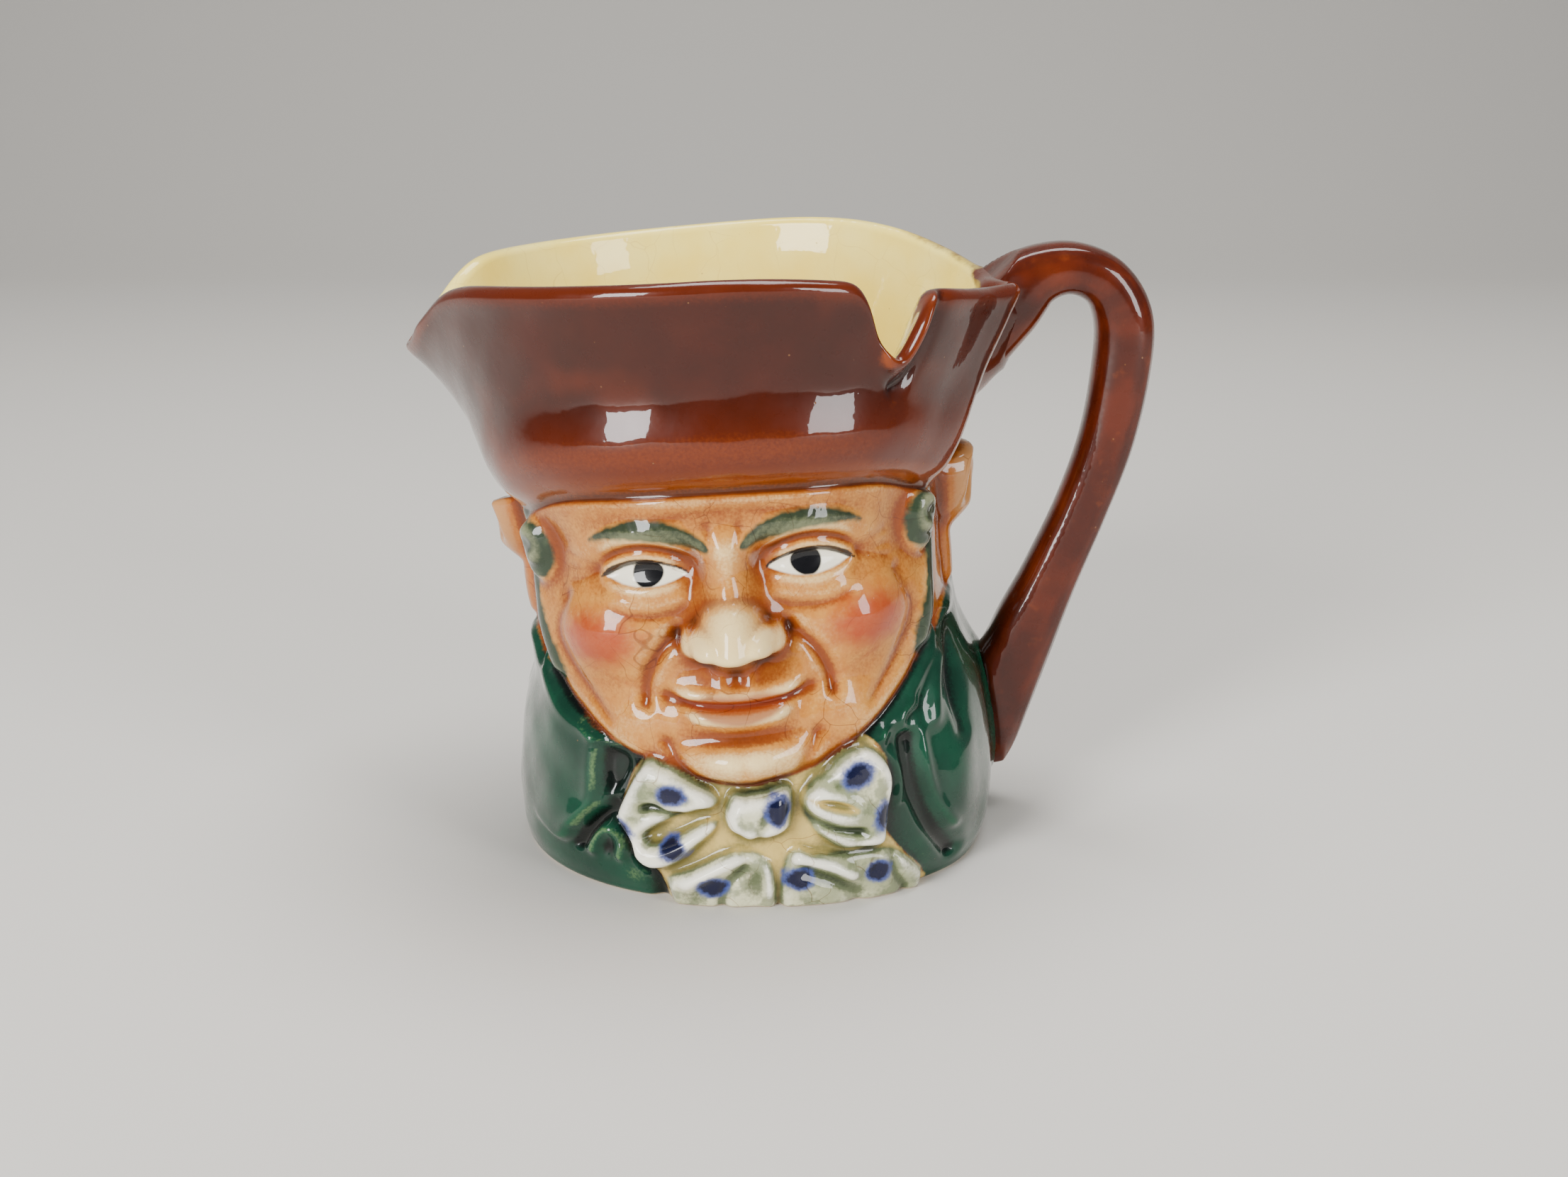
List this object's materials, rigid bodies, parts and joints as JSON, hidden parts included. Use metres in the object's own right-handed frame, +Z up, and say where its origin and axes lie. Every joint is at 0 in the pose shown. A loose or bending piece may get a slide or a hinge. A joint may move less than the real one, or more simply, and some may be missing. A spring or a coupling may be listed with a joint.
{
  "type": "toby jug",
  "caption": "Hollow glazed earthenware jug shaped as a gentleman's head in a cocked hat, with a spotted bow and a strap handle.",
  "frame": {"origin": "on the table, under the middle of the jug's bounding box, handle included", "axes": "+X towards the handle (the viewer's right), -Y the way the face looks, +Z up"},
  "size_m": [0.103, 0.0718, 0.0833],
  "materials": {
    "painted_glaze": "hand-painted underglaze colours under a clear glossy glaze"
  },
  "bodies": {
    "root": {"jug": "painted_glaze"}
  },
  "joints": []
}
